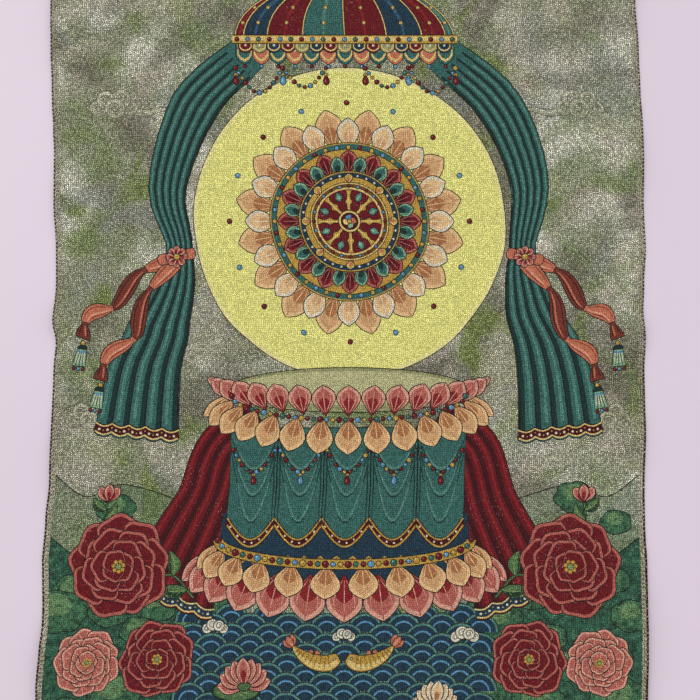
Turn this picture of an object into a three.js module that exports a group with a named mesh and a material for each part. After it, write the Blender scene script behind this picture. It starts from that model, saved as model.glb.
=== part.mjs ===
// A woven brocade thangka panel, unmounted, lying face up: one sheet of cloth, and a thread edging
// sewn round each of its four cut sides. Millimetres, +Z up, +Y towards the head of the picture.
// The origin is under the middle of the panel, on the surface that it lies on.
import * as THREE from 'three';

// Sizes of the panel over its edging, and of the edging itself
const panelWidth = 600;
const panelLength = 900;
const clothThickness = 1.2;
const edgingWidth = 2.4;
const edgingHeight = 1.9;
const seamGap = 0.3;

// How far each long side stands outside its straight line, all the way from foot to head.
const sideRows = [
  { y: -450, left: 1.6, right: -3.8 },
  { y: -400, left: 1.5, right: -4.6 },
  { y: -351, left: 0.9, right: -5.3 },
  { y: -313, left: -1.1, right: -4.6 },
  { y: -290, left: -2.6, right: -3.9 },
  { y: -226, left: -1.2, right: -2.2 },
  { y: -187, left: -3.3, right: -2.9 },
  { y: -147, left: -7.2, right: -2.9 },
  { y: -90, left: -7.7, right: -0.5 },
  { y: -38, left: -8.4, right: -0.5 },
  { y: -8, left: -10.4, right: 0.4 },
  { y: 12, left: -8.0, right: -0.8 },
  { y: 52, left: -9.2, right: 1.2 },
  { y: 83, left: -8.6, right: 3.4 },
  { y: 134, left: -5.6, right: 1.8 },
  { y: 180, left: -4.7, right: 2.6 },
  { y: 206, left: -3.2, right: 2.8 },
  { y: 247, left: -1.0, right: 1.2 },
  { y: 289, left: 0.5, right: 0.2 },
  { y: 342, left: 1.4, right: -3.5 },
  { y: 450, left: 1.2, right: -3.0 },
];

// Fold creases across the panel, at half and quarter length, and the ridge that each one leaves.
const creases = [
  { y: 4, rise: 1.5, reach: 17 },
  { y: 226, rise: 0.8, reach: 14 },
  { y: -224, rise: 0.9, reach: 14 },
];
const creaseShareInMiddle = 0.4;

// Ripples where a long side lifts off the surface. side is -1 on the left and 1 on the right.
const sideRipples = [
  { side: -1, y: 318, length: 170, reach: 75, rise: 3.0 },
  { side: -1, y: 132, length: 120, reach: 60, rise: 2.2 },
  { side: -1, y: 12, length: 58, reach: 70, rise: 4.6 },
  { side: -1, y: -128, length: 130, reach: 85, rise: 3.6 },
  { side: -1, y: -336, length: 150, reach: 110, rise: 7.0 },
  { side: 1, y: 352, length: 150, reach: 80, rise: 3.4 },
  { side: 1, y: 170, length: 130, reach: 70, rise: 3.0 },
  { side: 1, y: -4, length: 70, reach: 60, rise: 3.2 },
  { side: 1, y: -118, length: 110, reach: 70, rise: 2.4 },
  { side: 1, y: -312, length: 230, reach: 120, rise: 9.0 },
];

// Ripples where a short side lifts. side is -1 at the foot and 1 at the head.
const endRipples = [
  { side: -1, x: -120, length: 210, reach: 70, rise: 3.2 },
  { side: -1, x: 150, length: 190, reach: 80, rise: 4.2 },
  { side: 1, x: -190, length: 150, reach: 50, rise: 2.4 },
  { side: 1, x: 196, length: 130, reach: 50, rise: 2.0 },
];

// Steps of the meshes
const columnCount = 26;
const rowStep = 18;
const creaseRowShares = [-1, -0.5, 0, 0.5, 1];
const leastRowGap = 3.5;
const edgingSectionSides = 8;

// A smooth hump of height 1 at 0 that is flat, and exactly 0, from distance 1 on.
function hump(distance) {
  const t = Math.min(Math.abs(distance), 1);
  return 0.5 + 0.5 * Math.cos(Math.PI * t);
}

// One column of sideRows at y, eased from row to row.
function sideOffset(column, y) {
  const above = Math.max(1, sideRows.findIndex((row) => row.y >= y));
  const [low, high] = [sideRows[above - 1], sideRows[above]];
  const share = THREE.MathUtils.smoothstep(y, low.y, high.y);
  return THREE.MathUtils.lerp(low[column], high[column], share);
}

const leftLine = (y) => -panelWidth / 2 - sideOffset('left', y);
const rightLine = (y) => panelWidth / 2 + sideOffset('right', y);

// Height of the cloth's underside above the surface.
function liftAt(x, y) {
  const outwards = Math.min(Math.abs(x) / (panelWidth / 2), 1);
  const creaseShare = creaseShareInMiddle + (1 - creaseShareInMiddle) * outwards ** 2;
  let lift = 0;
  for (const { y: middle, rise, reach } of creases) {
    lift += rise * creaseShare * hump((y - middle) / reach);
  }
  for (const { side, y: middle, length, reach, rise } of sideRipples) {
    const inwards = panelWidth / 2 - side * x;
    lift += rise * hump((2 * (y - middle)) / length) * hump(Math.max(inwards, 0) / reach);
  }
  for (const { side, x: middle, length, reach, rise } of endRipples) {
    const inwards = panelLength / 2 - side * y;
    lift += rise * hump((2 * (x - middle)) / length) * hump(inwards / reach);
  }
  return lift;
}

// Places of the cloth's columns across it, as shares of its half width: close together at the sides.
function columnShares() {
  return Array.from({ length: columnCount + 1 }, (_, i) => {
    return Math.sin((i / columnCount - 0.5) * Math.PI);
  });
}

// Places of the rows along the panel from foot to head: even steps, and five rows on each crease.
function rowPlaces(foot, head) {
  const onCreases = creases.flatMap(({ y, reach }) => creaseRowShares.map((share) => y + share * reach));
  const steps = Math.round((head - foot) / rowStep);
  const even = Array.from({ length: steps + 1 }, (_, i) => foot + ((head - foot) * i) / steps);
  const clear = even.filter((y) => onCreases.every((place) => Math.abs(place - y) > leastRowGap));
  return [...onCreases, ...clear].sort((a, b) => a - b);
}

// A geometry from a list of [x, y, z] points and a list of [a, b, c] corner numbers.
function geometryFrom(vertices, triangles) {
  const geometry = new THREE.BufferGeometry();
  geometry.setAttribute('position', new THREE.Float32BufferAttribute(vertices.flat(), 3));
  geometry.setIndex(triangles.flat());
  geometry.computeVertexNormals();
  return geometry;
}

// The sheet of cloth inside the edging: a lower and an upper grid on the same lift, and a wall
// that joins their rims.
function sheetGeometry() {
  const shares = columnShares();
  const inset = edgingWidth + seamGap;
  const rows = rowPlaces(-panelLength / 2 + inset, panelLength / 2 - inset);
  const across = shares.length;
  const layer = across * rows.length;
  const vertices = [];
  for (const height of [0, clothThickness]) {
    for (const y of rows) {
      const left = leftLine(y) + inset;
      const right = rightLine(y) - inset;
      for (const share of shares) {
        const x = (left + right) / 2 + (share * (right - left)) / 2;
        vertices.push([x, y, liftAt(x, y) + height]);
      }
    }
  }
  const triangles = [];
  for (let row = 0; row < rows.length - 1; row += 1) {
    for (let column = 0; column < across - 1; column += 1) {
      const a = row * across + column;
      const [b, c, d] = [a + 1, a + across + 1, a + across];
      triangles.push([a, c, b], [a, d, c]);
      triangles.push([a + layer, b + layer, c + layer], [a + layer, c + layer, d + layer]);
    }
  }
  const rim = [
    ...shares.slice(1).map((_, i) => i),
    ...rows.slice(1).map((_, i) => (i + 1) * across - 1),
    ...shares.slice(1).map((_, i) => layer - 1 - i),
    ...rows.slice(1).map((_, i) => (rows.length - 1 - i) * across),
  ];
  rim.forEach((from, i) => {
    const to = rim[(i + 1) % rim.length];
    triangles.push([from, to, to + layer], [from, to + layer, from + layer]);
  });
  return geometryFrom(vertices, triangles);
}

// A rounded bar of thread along a path of points that lie under the middle of the bar. across is
// the level direction square to the path, from its left to its right.
function edgingGeometry(path, across) {
  const sides = edgingSectionSides;
  const vertices = [];
  for (const place of path) {
    for (let i = 0; i < sides; i += 1) {
      const angle = ((i + 0.5) / sides) * 2 * Math.PI;
      const level = (edgingWidth / 2) * (Math.cos(angle) / Math.cos(Math.PI / sides));
      const height = (edgingHeight / 2) * (1 + Math.sin(angle) / Math.cos(Math.PI / sides));
      vertices.push([place.x + across.x * level, place.y + across.y * level, place.z + height]);
    }
  }
  const triangles = [];
  for (let step = 0; step < path.length - 1; step += 1) {
    for (let i = 0; i < sides; i += 1) {
      const a = step * sides + i;
      const b = step * sides + ((i + 1) % sides);
      triangles.push([a, b + sides, b], [a, a + sides, b + sides]);
    }
  }
  const last = (path.length - 1) * sides;
  for (let i = 1; i < sides - 1; i += 1) {
    triangles.push([0, i, i + 1], [last, last + i + 1, last + i]);
  }
  return geometryFrom(vertices, triangles);
}

// The path of a long side's edging: from the foot's outer line to the head's.
function longSidePath(side) {
  const outer = side < 0 ? leftLine : rightLine;
  return rowPlaces(-panelLength / 2, panelLength / 2).map((y) => {
    const x = outer(y) - (side * edgingWidth) / 2;
    return { x, y, z: liftAt(x, y) };
  });
}

// The path of a short side's edging, which fits between the two long ones.
function shortSidePath(side) {
  const y = side * (panelLength / 2 - edgingWidth / 2);
  const left = leftLine(y) + edgingWidth + seamGap;
  const right = rightLine(y) - edgingWidth - seamGap;
  return columnShares().map((share) => {
    const x = (left + right) / 2 + (share * (right - left)) / 2;
    return { x, y, z: liftAt(x, y) };
  });
}

const clothMaterial = new THREE.MeshStandardMaterial({ color: 0x84826c, roughness: 0.8, metalness: 0.0 });
const threadMaterial = new THREE.MeshStandardMaterial({ color: 0x4a2c2c, roughness: 0.7, metalness: 0.0 });

const panel = new THREE.Group();

function addMesh(name, geometry, material) {
  const mesh = new THREE.Mesh(geometry, material);
  mesh.name = name;
  panel.add(mesh);
}

const acrossLongSide = { x: 1, y: 0 };
const acrossShortSide = { x: 0, y: -1 };

addMesh('woven_cloth', sheetGeometry(), clothMaterial);
addMesh('edging_left', edgingGeometry(longSidePath(-1), acrossLongSide), threadMaterial);
addMesh('edging_right', edgingGeometry(longSidePath(1), acrossLongSide), threadMaterial);
addMesh('edging_head', edgingGeometry(shortSidePath(1), acrossShortSide), threadMaterial);
addMesh('edging_foot', edgingGeometry(shortSidePath(-1), acrossShortSide), threadMaterial);

export default panel;
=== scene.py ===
import bpy
import numpy as np
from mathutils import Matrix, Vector
from mathutils.geometry import delaunay_2d_cdt


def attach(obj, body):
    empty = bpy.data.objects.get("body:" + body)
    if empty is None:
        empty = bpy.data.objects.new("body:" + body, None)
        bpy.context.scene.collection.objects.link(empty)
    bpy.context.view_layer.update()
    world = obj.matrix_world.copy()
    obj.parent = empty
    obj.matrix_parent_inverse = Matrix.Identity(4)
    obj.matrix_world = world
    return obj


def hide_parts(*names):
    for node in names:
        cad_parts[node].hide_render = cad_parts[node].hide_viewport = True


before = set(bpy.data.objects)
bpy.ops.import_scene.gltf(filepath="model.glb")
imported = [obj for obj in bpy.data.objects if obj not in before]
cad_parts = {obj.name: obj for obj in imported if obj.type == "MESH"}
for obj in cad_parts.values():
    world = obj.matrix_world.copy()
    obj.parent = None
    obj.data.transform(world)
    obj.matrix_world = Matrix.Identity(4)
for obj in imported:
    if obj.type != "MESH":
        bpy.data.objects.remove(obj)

mm = 0.001
tau = 2 * np.pi
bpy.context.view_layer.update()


# The camera looks down at the panel from a little below its middle, as the photo does
view = {
    "aimX": 5.05,
    "aimY": -18.0,
    "distance": 900.0,
    "tilt": 3.5,           # degrees from straight down
    "focal": 898.0,        # in pixels of the image
    "image": 700.0,
    "sensor": 36.0,
}
tilt = np.radians(view["tilt"])
cameraData = bpy.data.cameras.new("camera")
cameraData.sensor_width = view["sensor"]
cameraData.lens = view["sensor"] * view["focal"] / view["image"]
camera = bpy.data.objects.new("camera", cameraData)
camera.location = (view["aimX"] * mm, (view["aimY"] - view["distance"] * np.sin(tilt)) * mm,
                   view["distance"] * np.cos(tilt) * mm)
camera.rotation_euler = (tilt, 0, 0)
bpy.context.scene.collection.objects.link(camera)
bpy.context.scene.camera = camera


# The panel as it lies, in millimetres
panel = {
    "width": 600.0,        # over the stitches, before its sides waver
    "length": 900.0,
    "thickness": 1.2,
    "cut": 0.45,           # from the stitches' outer line in to the cut edge of the cloth
    "margin": 6.6,         # from the outer line in to the edge of the picture
    "edgeTop": 0.10,       # how far the cloth's face rises at the cut, and how far its back is drawn up
    "edgeBack": 0.50,
    "edgeWidth": 3.2,
    "gridStep": 10.0,
    "slackFrom": 40.0,     # how far in from a long side the slack swells reach their full height
    "longestEdge": 9.0,    # of the picture's outlines
}
# Rows of the sides: y, then how far the left and the right side stand outside a straight line
sideRows = np.array([
    (-450, 1.6, -3.8), (-400, 1.5, -4.6), (-351, 0.9, -5.3), (-313, -1.1, -4.6), (-290, -2.6, -3.9),
    (-226, -1.2, -2.2), (-187, -3.3, -2.9), (-147, -7.2, -2.9), (-90, -7.7, -0.5), (-38, -8.4, -0.5),
    (-8, -10.4, 0.4), (12, -8.0, -0.8), (52, -9.2, 1.2), (83, -8.6, 3.4), (134, -5.6, 1.8),
    (180, -4.7, 2.6), (206, -3.2, 2.8), (247, -1.0, 1.2), (289, 0.5, 0.2), (342, 1.4, -3.5),
    (450, 1.2, -3.0)])
# Fold creases across it: y, rise, reach
creases = [(4, 1.5, 17), (226, 0.8, 14), (-224, 0.9, 14)]
creaseShareInMiddle = 0.4
# Ripples of the long sides: side (-1 left), y, length, reach, rise
sideRipples = [
    (-1, 318, 170, 75, 3.0), (-1, 132, 120, 60, 2.2), (-1, 12, 58, 70, 4.6), (-1, -128, 130, 85, 3.6),
    (-1, -336, 150, 110, 7.0), (1, 352, 150, 80, 3.4), (1, 170, 130, 70, 3.0), (1, -4, 70, 60, 3.2),
    (1, -118, 110, 70, 2.4), (1, -312, 230, 120, 9.0)]
# Ripples of the short sides: side (-1 foot), x, length, reach, rise
endRipples = [
    (-1, -120, 210, 70, 3.2), (-1, 150, 190, 80, 4.2), (1, -190, 150, 50, 2.4), (1, 196, 130, 50, 2.0)]
# Slack swells: how wide and how long their waves are, where these start, rise
swells = [(61, 83, 0.3, 1.1, 0.22), (97, 71, 1.9, 0.4, 0.20), (43, 127, 0.8, 2.6, 0.13)]


# Half a cosine wave: 1 at distance 0, 0 from distance 1 on
def hump(distance):
    return 0.5 + 0.5 * np.cos(np.pi * np.minimum(np.abs(distance), 1))


# One column of sideRows at y, eased from row to row by 3 share^2 - 2 share^3
def sideShift(column, y):
    above = np.clip(np.searchsorted(sideRows[:, 0], y), 1, len(sideRows) - 1)
    low, high = sideRows[above - 1], sideRows[above]
    share = np.clip((y - low[..., 0]) / (high[..., 0] - low[..., 0]), 0, 1)
    return low[..., column] + (high[..., column] - low[..., column]) * share * share * (3 - 2 * share)


# Height of the underside: the sum of every crease's and ripple's rise times its humps along and across
def lift(x, y):
    halfWide, halfLong = panel["width"] / 2, panel["length"] / 2
    share = creaseShareInMiddle + (1 - creaseShareInMiddle) * np.minimum(np.abs(x) / halfWide, 1) ** 2
    height = sum(rise * share * hump((y - middle) / reach) for middle, rise, reach in creases)
    for side, middle, length, reach, rise in sideRipples:
        inwards = np.maximum(halfWide - side * x, 0)
        height = height + rise * hump(2 * (y - middle) / length) * hump(inwards / reach)
    for side, middle, length, reach, rise in endRipples:
        height = height + rise * hump(2 * (x - middle) / length) * hump((halfLong - side * y) / reach)
    return height


# Low swells of the slack cloth: the sum of rises times 1 + a product of two sine waves, 0 at the sides
def slack(x, y):
    inner = 1 - hump((panel["width"] / 2 - np.abs(x)) / panel["slackFrom"])
    return inner * sum(rise * (1 + np.sin(x / wide + startX) * np.sin(y / long + startY))
                       for wide, long, startX, startY, rise in swells)


# A place (u, v) of the flat cloth as it lies: x goes from side line to side line at v as u goes across,
# y = v, z = lift and slack plus height
def onCloth(u, v, height):
    left = -panel["width"] / 2 - sideShift(1, v)
    right = panel["width"] / 2 + sideShift(2, v)
    x = left + (u / panel["width"] + 0.5) * (right - left)
    return np.stack([x, v + 0 * x, lift(x, v) + slack(x, v) + height], -1)


# A new object from points in millimetres and from sets of faces, each set of one corner count
def newPiece(name, points, faceSets, materials):
    mesh = bpy.data.meshes.new(name)
    corners = np.concatenate([faces.ravel() for faces in faceSets]).astype(np.int32)
    sizes = np.concatenate([np.full(len(faces), faces.shape[1]) for faces in faceSets])
    mesh.vertices.add(len(points))
    mesh.vertices.foreach_set("co", (points * mm).astype(np.float32).ravel())
    mesh.loops.add(len(corners))
    mesh.loops.foreach_set("vertex_index", corners)
    mesh.polygons.add(len(sizes))
    mesh.polygons.foreach_set("loop_start", (np.cumsum(sizes) - sizes).astype(np.int32))
    mesh.update(calc_edges=True)
    mesh.polygons.foreach_set("use_smooth", np.ones(len(sizes), bool))
    for material in materials:
        mesh.materials.append(material)
    piece = bpy.data.objects.new(name, mesh)
    bpy.context.scene.collection.objects.link(piece)
    return piece


# A new attribute of a mesh from an array with one row for each point or corner
def addAttribute(mesh, name, kind, domain, values):
    field = "color" if kind == "FLOAT_COLOR" else "vector"
    mesh.attributes.new(name, kind, domain).data.foreach_set(field, values.astype(np.float32).ravel())


# Colours in sRGB, 0 to 1, as the shader takes them
def linear(colour):
    return np.where(colour <= 0.04045, colour / 12.92, ((colour + 0.055) / 1.055) ** 2.4)


# Threads of the picture: colour in sRGB 0 to 255, and how strongly the grain of the weave shows in it
threads = {
    "mist": ((118, 122, 98), 1.00),
    "margin": ((112, 110, 90), 0.95),
    "ink": ((24, 24, 22), 0.45),
    "moon": ((214, 213, 124), 0.50),
    "moonRim": ((222, 216, 142), 0.40),
    "tan": ((196, 154, 106), 0.42),
    "tanLight": ((218, 182, 130), 0.38),
    "tanDeep": ((160, 108, 68), 0.45),
    "red": ((98, 18, 25), 0.38),
    "redLight": ((126, 30, 34), 0.40),
    "redDeep": ((66, 11, 18), 0.35),
    "rose": ((166, 92, 80), 0.50),
    "roseLight": ((202, 150, 128), 0.45),
    "teal": ((50, 94, 86), 0.60),
    "tealLight": ((76, 120, 108), 0.60),
    "tealDeep": ((22, 48, 44), 0.50),
    "navy": ((28, 52, 66), 0.60),
    "navyLight": ((50, 84, 102), 0.60),
    "blue": ((84, 136, 166), 0.50),
    "blueLight": ((156, 188, 200), 0.40),
    "hill": ((45, 84, 64), 0.70),
    "hillFar": ((96, 112, 82), 0.90),
    "leaf": ((74, 106, 64), 0.60),
    "leafLight": ((118, 140, 84), 0.60),
    "leafDeep": ((24, 52, 34), 0.50),
    "sage": ((138, 140, 96), 0.60),
    "sageLight": ((172, 172, 124), 0.50),
    "mint": ((124, 164, 128), 0.50),
    "gold": ((176, 142, 62), 0.50),
    "goldLight": ((210, 186, 114), 0.40),
    "goldDeep": ((104, 72, 30), 0.50),
    "orange": ((182, 108, 80), 0.45),
    "orangeLight": ((208, 148, 118), 0.40),
    "orangeDeep": ((110, 50, 38), 0.45),
    "cream": ((208, 202, 176), 0.45),
    "cloud": ((140, 141, 118), 0.90),
    "cloudLight": ((162, 162, 138), 0.85),
    "cloudLine": ((88, 90, 70), 0.60),
    "bush": ((58, 98, 68), 0.70),
    "bushLight": ((92, 125, 82), 0.70),
}
# Threads with a further finish: the share of the mist's clouds, of foliage tufts and of pale flecks
finishes = {
    "mist": (1.0, 0, 0), "margin": (0.4, 0, 0), "cloud": (0.4, 0, 0), "cloudLight": (0.2, 0, 0),
    "hillFar": (0.5, 0.5, 0), "hill": (0, 1.0, 0), "bush": (0, 1.0, 0), "bushLight": (0, 0.6, 0),
    "leaf": (0, 0.2, 0), "leafDeep": (0, 0.2, 0), "red": (0, 0, 1.0), "redLight": (0, 0, 0.5),
    "redDeep": (0, 0, 0.6),
}
# Sets of three threads for a motif: deep, middle, light
tones = {name: (name + "Deep", name, name + "Light") for name in ("teal", "red", "orange", "tan")}
tones["rose"] = ("redLight", "rose", "roseLight")
tones["redRose"] = ("redDeep", "red", "rose")
outlines = []  # (thread, closed outline), in the order in which they cover each other


def lay(thread, outline):
    outlines.append((thread, outline))


# The directions of complex steps, each of length one
def unit(steps):
    return steps / np.maximum(np.abs(steps), 1e-9)


# The direction at an angle in degrees, anticlockwise from +x
def heading(degrees):
    return np.exp(1j * np.radians(degrees))


# 1 where an outline runs anticlockwise and -1 where it runs clockwise: the sign of its area
def winding(outline):
    after = np.roll(outline, -1)
    return np.sign(np.sum(outline.real * after.imag - after.real * outline.imag))


# The outline moved outwards by a distance along its normals
def grown(outline, by):
    along = unit(np.roll(outline, -1) - np.roll(outline, 1))
    return outline - 1j * winding(outline) * by * along


# A shape with a dark line round it
def inked(thread, outline, edge=0.9):
    lay("ink", grown(outline, edge))
    lay(thread, outline)


# Points at equal angles on an oval or a circle
def oval(wide, high, count=48):
    angle = tau * np.arange(count) / count
    return wide * np.cos(angle) + 1j * high * np.sin(angle)


def circle(radius, count=20):
    return oval(radius, radius, count)


# A circle whose radius swells and shrinks by depth times cos(lobes * angle)
def ruffled(radius, lobes, depth, count=24):
    angle = tau * np.arange(count) / count
    return radius * (1 + depth * np.cos(lobes * angle)) * np.exp(1j * angle)


# A spiral from the outer to the inner radius, which shrinks evenly with the angle
def spiral(outer, inner, turns, start, count):
    share = np.linspace(0, 1, count)
    return (outer + (inner - outer) * share) * np.exp(1j * (tau * turns * share + start))


# Out along x = length t, y = half the width times sin(pi t^lean)^sharp, and back with y negative. The
# steps of t are the mean of even ones and cosine ones, so that both ends are round
def petal(length, width, lean=1.3, sharp=1.0, count=9):
    even = np.linspace(0, 1, count)
    t = 0.5 * even + 0.25 * (1 - np.cos(np.pi * even))
    out = length * t + 0.5j * width * np.abs(np.sin(np.pi * t ** lean)) ** sharp
    return np.concatenate([out, np.conj(out[-2:0:-1])])


# Cubics from each point to the next, with slopes from the points beside them
def cubics(before, start, end, after, t):
    steep = 2 * before - 5 * start + 4 * end - after
    steeper = 3 * start - before - 3 * end + after
    return start + 0.5 * ((end - before) * t + steep * t ** 2 + steeper * t ** 3)


# A smooth open path through the points
def curve(points, count=24):
    points = np.array(points, complex)
    points = np.concatenate([[2 * points[0] - points[1]], points, [2 * points[-1] - points[-2]]])
    far = np.linspace(0, len(points) - 3, count)
    step = np.minimum(far.astype(int), len(points) - 4)
    return cubics(points[step], points[step + 1], points[step + 2], points[step + 3], far - step)


# A smooth closed outline through the points
def loop(points, count=32):
    points = np.array(points, complex)
    far = np.arange(count) * len(points) / count
    step = far.astype(int)
    around = [points[(step + shift) % len(points)] for shift in (-1, 0, 1, 2)]
    return cubics(*around, far - step)


# The strip between the path and half the width to each side of it, along its normals
def band(path, width):
    side = 0.5j * np.asarray(width) * unit(np.gradient(path))
    return np.concatenate([path + side, (path - side)[::-1]])


# A thin line that narrows to both ends
def line(thread, path, width=1.0):
    swell = np.sin(np.pi * np.linspace(0.06, 0.94, len(path))) ** 0.5
    lay(thread, band(path, width * swell))


# A move of a motif: scale it, turn it by degrees, shift it, and mirror it left to right if wanted
def moved(place=0, turn=0, size=1, mirror=False):
    def move(motif):
        put = place + size * heading(turn) * motif
        return -np.conj(put) if mirror else put
    return move


# A move inside another one
def within(outer, place=0, turn=0, size=1):
    inner = moved(place, turn, size)
    return lambda motif: outer(inner(motif))


# The same motif on the left, mirrored, and on the right
def bothSides(motif, place, turn, size, *rest):
    for mirror in (True, False):
        motif(moved(place, turn, size, mirror), *rest)


beadColours = ["red", "blue", "gold", "red", "teal"]
beadLights = {"red": "rose", "blue": "blueLight", "gold": "goldLight", "teal": "mint"}


# A round bead with a dark outline and a highlight
def bead(place, radius, thread):
    inked(thread, place + circle(radius, 8), 0.8)
    lay(beadLights[thread], place + radius * (-0.3 + 0.34j) + circle(0.34 * radius, 4))


# Beads at even distances along a path, on a thin dark thread, each third one larger
def beadString(path, spacing, radius, first=0):
    lay("ink", band(path, 0.7))
    far = np.concatenate([[0], np.cumsum(np.abs(np.diff(path)))])
    count = max(2, int(round(far[-1] / spacing)) + 1)
    for number, place in enumerate(np.interp(np.linspace(0, far[-1], count), far, path), first):
        bead(place, radius * (1.0 if number % 3 else 1.35), beadColours[number % len(beadColours)])


# A ring of beads
def beadRing(centre, radius, count, size, colours):
    for number, place in enumerate(centre + circle(radius, count)):
        bead(place, size, colours[number % len(colours)])


# A pearl drop that hangs down from a place
def drop(move, size, thread):
    lay("ink", move(band(np.array([0, -3.2j * size]), 0.8)))
    inked("gold", move(-4.2j * size + circle(1.5 * size, 8)), 0.7)
    inked(thread, move(-12.5j * size + 1j * petal(8 * size, 4.6 * size, 0.7, 0.9, 6)), 0.8)
    lay(beadLights[thread], move((-0.6 - 10.6j) * size + 1j * petal(3 * size, 1.2 * size, 1, 1, 4)))


# A petal in three tones, with veins from its root
def shadedPetal(move, length, width, petalTones, veins=3, count=10):
    deep, middle, light = petalTones
    lean, sharp = 1.35, 0.85
    inked(light, move(petal(length, width, lean, sharp, count)), 0.95)
    lay(middle, move(petal(0.90 * length, 0.80 * width, lean, sharp, count - 1)))
    lay(deep, move(petal(0.62 * length, 0.56 * width, lean, sharp, count - 3)))
    for bend in np.linspace(-0.6, 0.6, veins):
        t = np.linspace(0.12, 0.80 - 0.15 * abs(bend), 6)
        line(light, move(length * t + 0.5j * width * bend * np.sin(np.pi * t ** lean)), 0.9)
    line(deep, move(length * np.linspace(0.86, 0.985, 3) + 0j))


# Petals round a centre, at even angles
def petalRing(centre, count, start, length, width, petalTones, shift=0.0, veins=3):
    for turn in 360 * (np.arange(count) + shift) / count:
        shadedPetal(moved(centre + start * heading(turn), turn), length, width, petalTones, veins)


# Two thin rings with a coloured band between them
def ringBand(centre, radius, width, thread, edge="gold", count=72):
    inked(edge, centre + circle(radius + width / 2 + 1.1, count), 0.8)
    lay(thread, centre + circle(radius + width / 2, count))
    inked(edge, centre + circle(radius - width / 2 + 1.1, count), 0.8)


# A wheel with eight spokes, studs on its rim and a turning hub of four commas
def wheel(centre, radius):
    ringBand(centre, 0.90 * radius, 0.12 * radius, "goldDeep", "goldLight", 56)
    lay("red", centre + circle(0.82 * radius, 48))
    far = np.array([0.2, 0.3, 0.42, 0.5, 0.58, 0.68, 0.8]) * radius
    half = np.array([2.4, 1.3, 1.5, 3.6, 1.5, 1.3, 2.8])
    for turn in np.arange(0, 360, 45):
        spoke, between = moved(centre, turn), moved(centre, turn + 22.5)
        inked("gold", spoke(np.concatenate([far + 1j * half, (far - 1j * half)[::-1]])))
        lay("goldLight", spoke(band(np.linspace(0.24, 0.76, 5) * radius + 0.3j, [0.8, 0.7, 1.8, 0.7, 0.8])))
        shadedPetal(within(spoke, 0.99 * radius), 9, 8, ("orange", "gold", "goldLight"), 1)
        inked("tealLight", between(0.55 * radius + petal(0.24 * radius, 0.16 * radius, 0.8)), 0.8)
        lay("mint", between(0.58 * radius + petal(0.14 * radius, 0.07 * radius, 0.8, 1, 5)))
    beadRing(centre, 0.90 * radius, 24, 1.35, ["red", "blue"])
    inked("goldLight", centre + circle(0.27 * radius, 28))
    inked("redDeep", centre + circle(0.21 * radius, 24), 0.6)
    comma = loop([0, 0.03 + 0.06j, 0.09 + 0.09j, 0.15 + 0.05j, 0.17 - 0.02j, 0.12 - 0.05j, 0.06 - 0.02j], 18)
    for quarter, thread in enumerate(["orange", "blue", "goldLight", "mint"]):
        lay(thread, moved(centre, 90 * quarter, radius)(comma))
    bead(centre, 2.0, "gold")


# A tongue of flame: petals one inside the other, bent to one side by half a sine wave
def flame(move, height, width):
    for thread, share, edge in (("red", 1.0, 0.8), ("orange", 0.78, 0.4), ("goldLight", 0.5, 0.4)):
        tongue = petal(share * height, share * width, 0.62, 0.8)
        inked(thread, move(1j * tongue - 0.16 * height * np.sin(np.pi * tongue.real / height)), edge)


# A round jewel in a crown of flames
def fieryJewel(move, radius):
    for turn in (-62, 62, -36, 36, -14, 14, 0):
        flame(within(move, 0.55j * radius * heading(turn), 0.55 * turn),
              radius * (2.3 - abs(turn) / 60), radius * 0.95)
    inked("blue", move(circle(radius, 20)))
    lay("navyLight", move(-0.12j * radius + circle(0.8 * radius, 18)))
    lay("blue", move(0.1j * radius + circle(0.66 * radius, 16)))
    lay("cream", move((-0.32 + 0.4j) * radius + circle(0.2 * radius, 8)))


# A tassel that hangs down: a knot, a cap and a skirt of cut thread with beads under it
def tassel(move, size):
    bead(move(3.0j * size), 2.2 * size, "gold")
    inked("tealDeep", move(size * loop([-3, -4.5 - 4j, 4.5 - 4j, 3], 12)))
    skirt = np.array([-4.5 - 4j, -5.6 - 12j, -6.6 - 21j, 6.6 - 21j, 5.6 - 12j, 4.5 - 4j])
    inked("mint", move(size * skirt))
    for x in (-2.6, 0, 2.6):
        lay("ink", move(band(size * np.array([0.75 * x - 5j, x - 12j, 1.5 * x - 20.6j]), 0.75)))
    for x in (-3.8, -1.3, 1.3, 3.8):
        lay("cream", move(band(size * np.array([0.85 * x - 7j, 1.15 * x - 18j]), 0.7)))
    lay("blue", move(size * np.array([-4.7 - 5.5j, -4.9 - 7.5j, 4.9 - 7.5j, 4.7 - 5.5j])))
    for x, thread in ((-5, "red"), (0, "blue"), (5, "red")):
        bead(move((x - 24.2j) * size), 1.6 * size, thread)


# A band along a smooth path that narrows at each twist, and shows its face and its back in turn
def ribbon(move, points, width):
    deep, middle, light = tones["orange"]
    twists, steps = 3, 14
    path = curve(points, twists * steps + 1)
    wave = np.abs(np.cos(np.pi * (np.linspace(0, twists, len(path)) - 0.12)))
    half = 0.5 * width * (0.24 + 0.76 * wave ** 0.8)
    ends = [0, *range(int(0.62 * steps), len(path) - 1, steps), len(path) - 1]
    for number, (first, last) in enumerate(zip(ends, ends[1:])):
        face, shade, glow = (deep, "ink", middle) if number % 2 else (middle, deep, light)
        part, reach = path[first:last + 1], half[first:last + 1]
        side = 1j * unit(np.gradient(part)) * reach
        inked(face, move(band(part, 2 * reach)), 0.95)
        for thread, share, thick in ((shade, -0.62, 1.0), (shade, 0.62, 1.0), (glow, -0.31, 0.13 * width)):
            line(thread, move((part + side * share)[1:-1]), thick)


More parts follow.
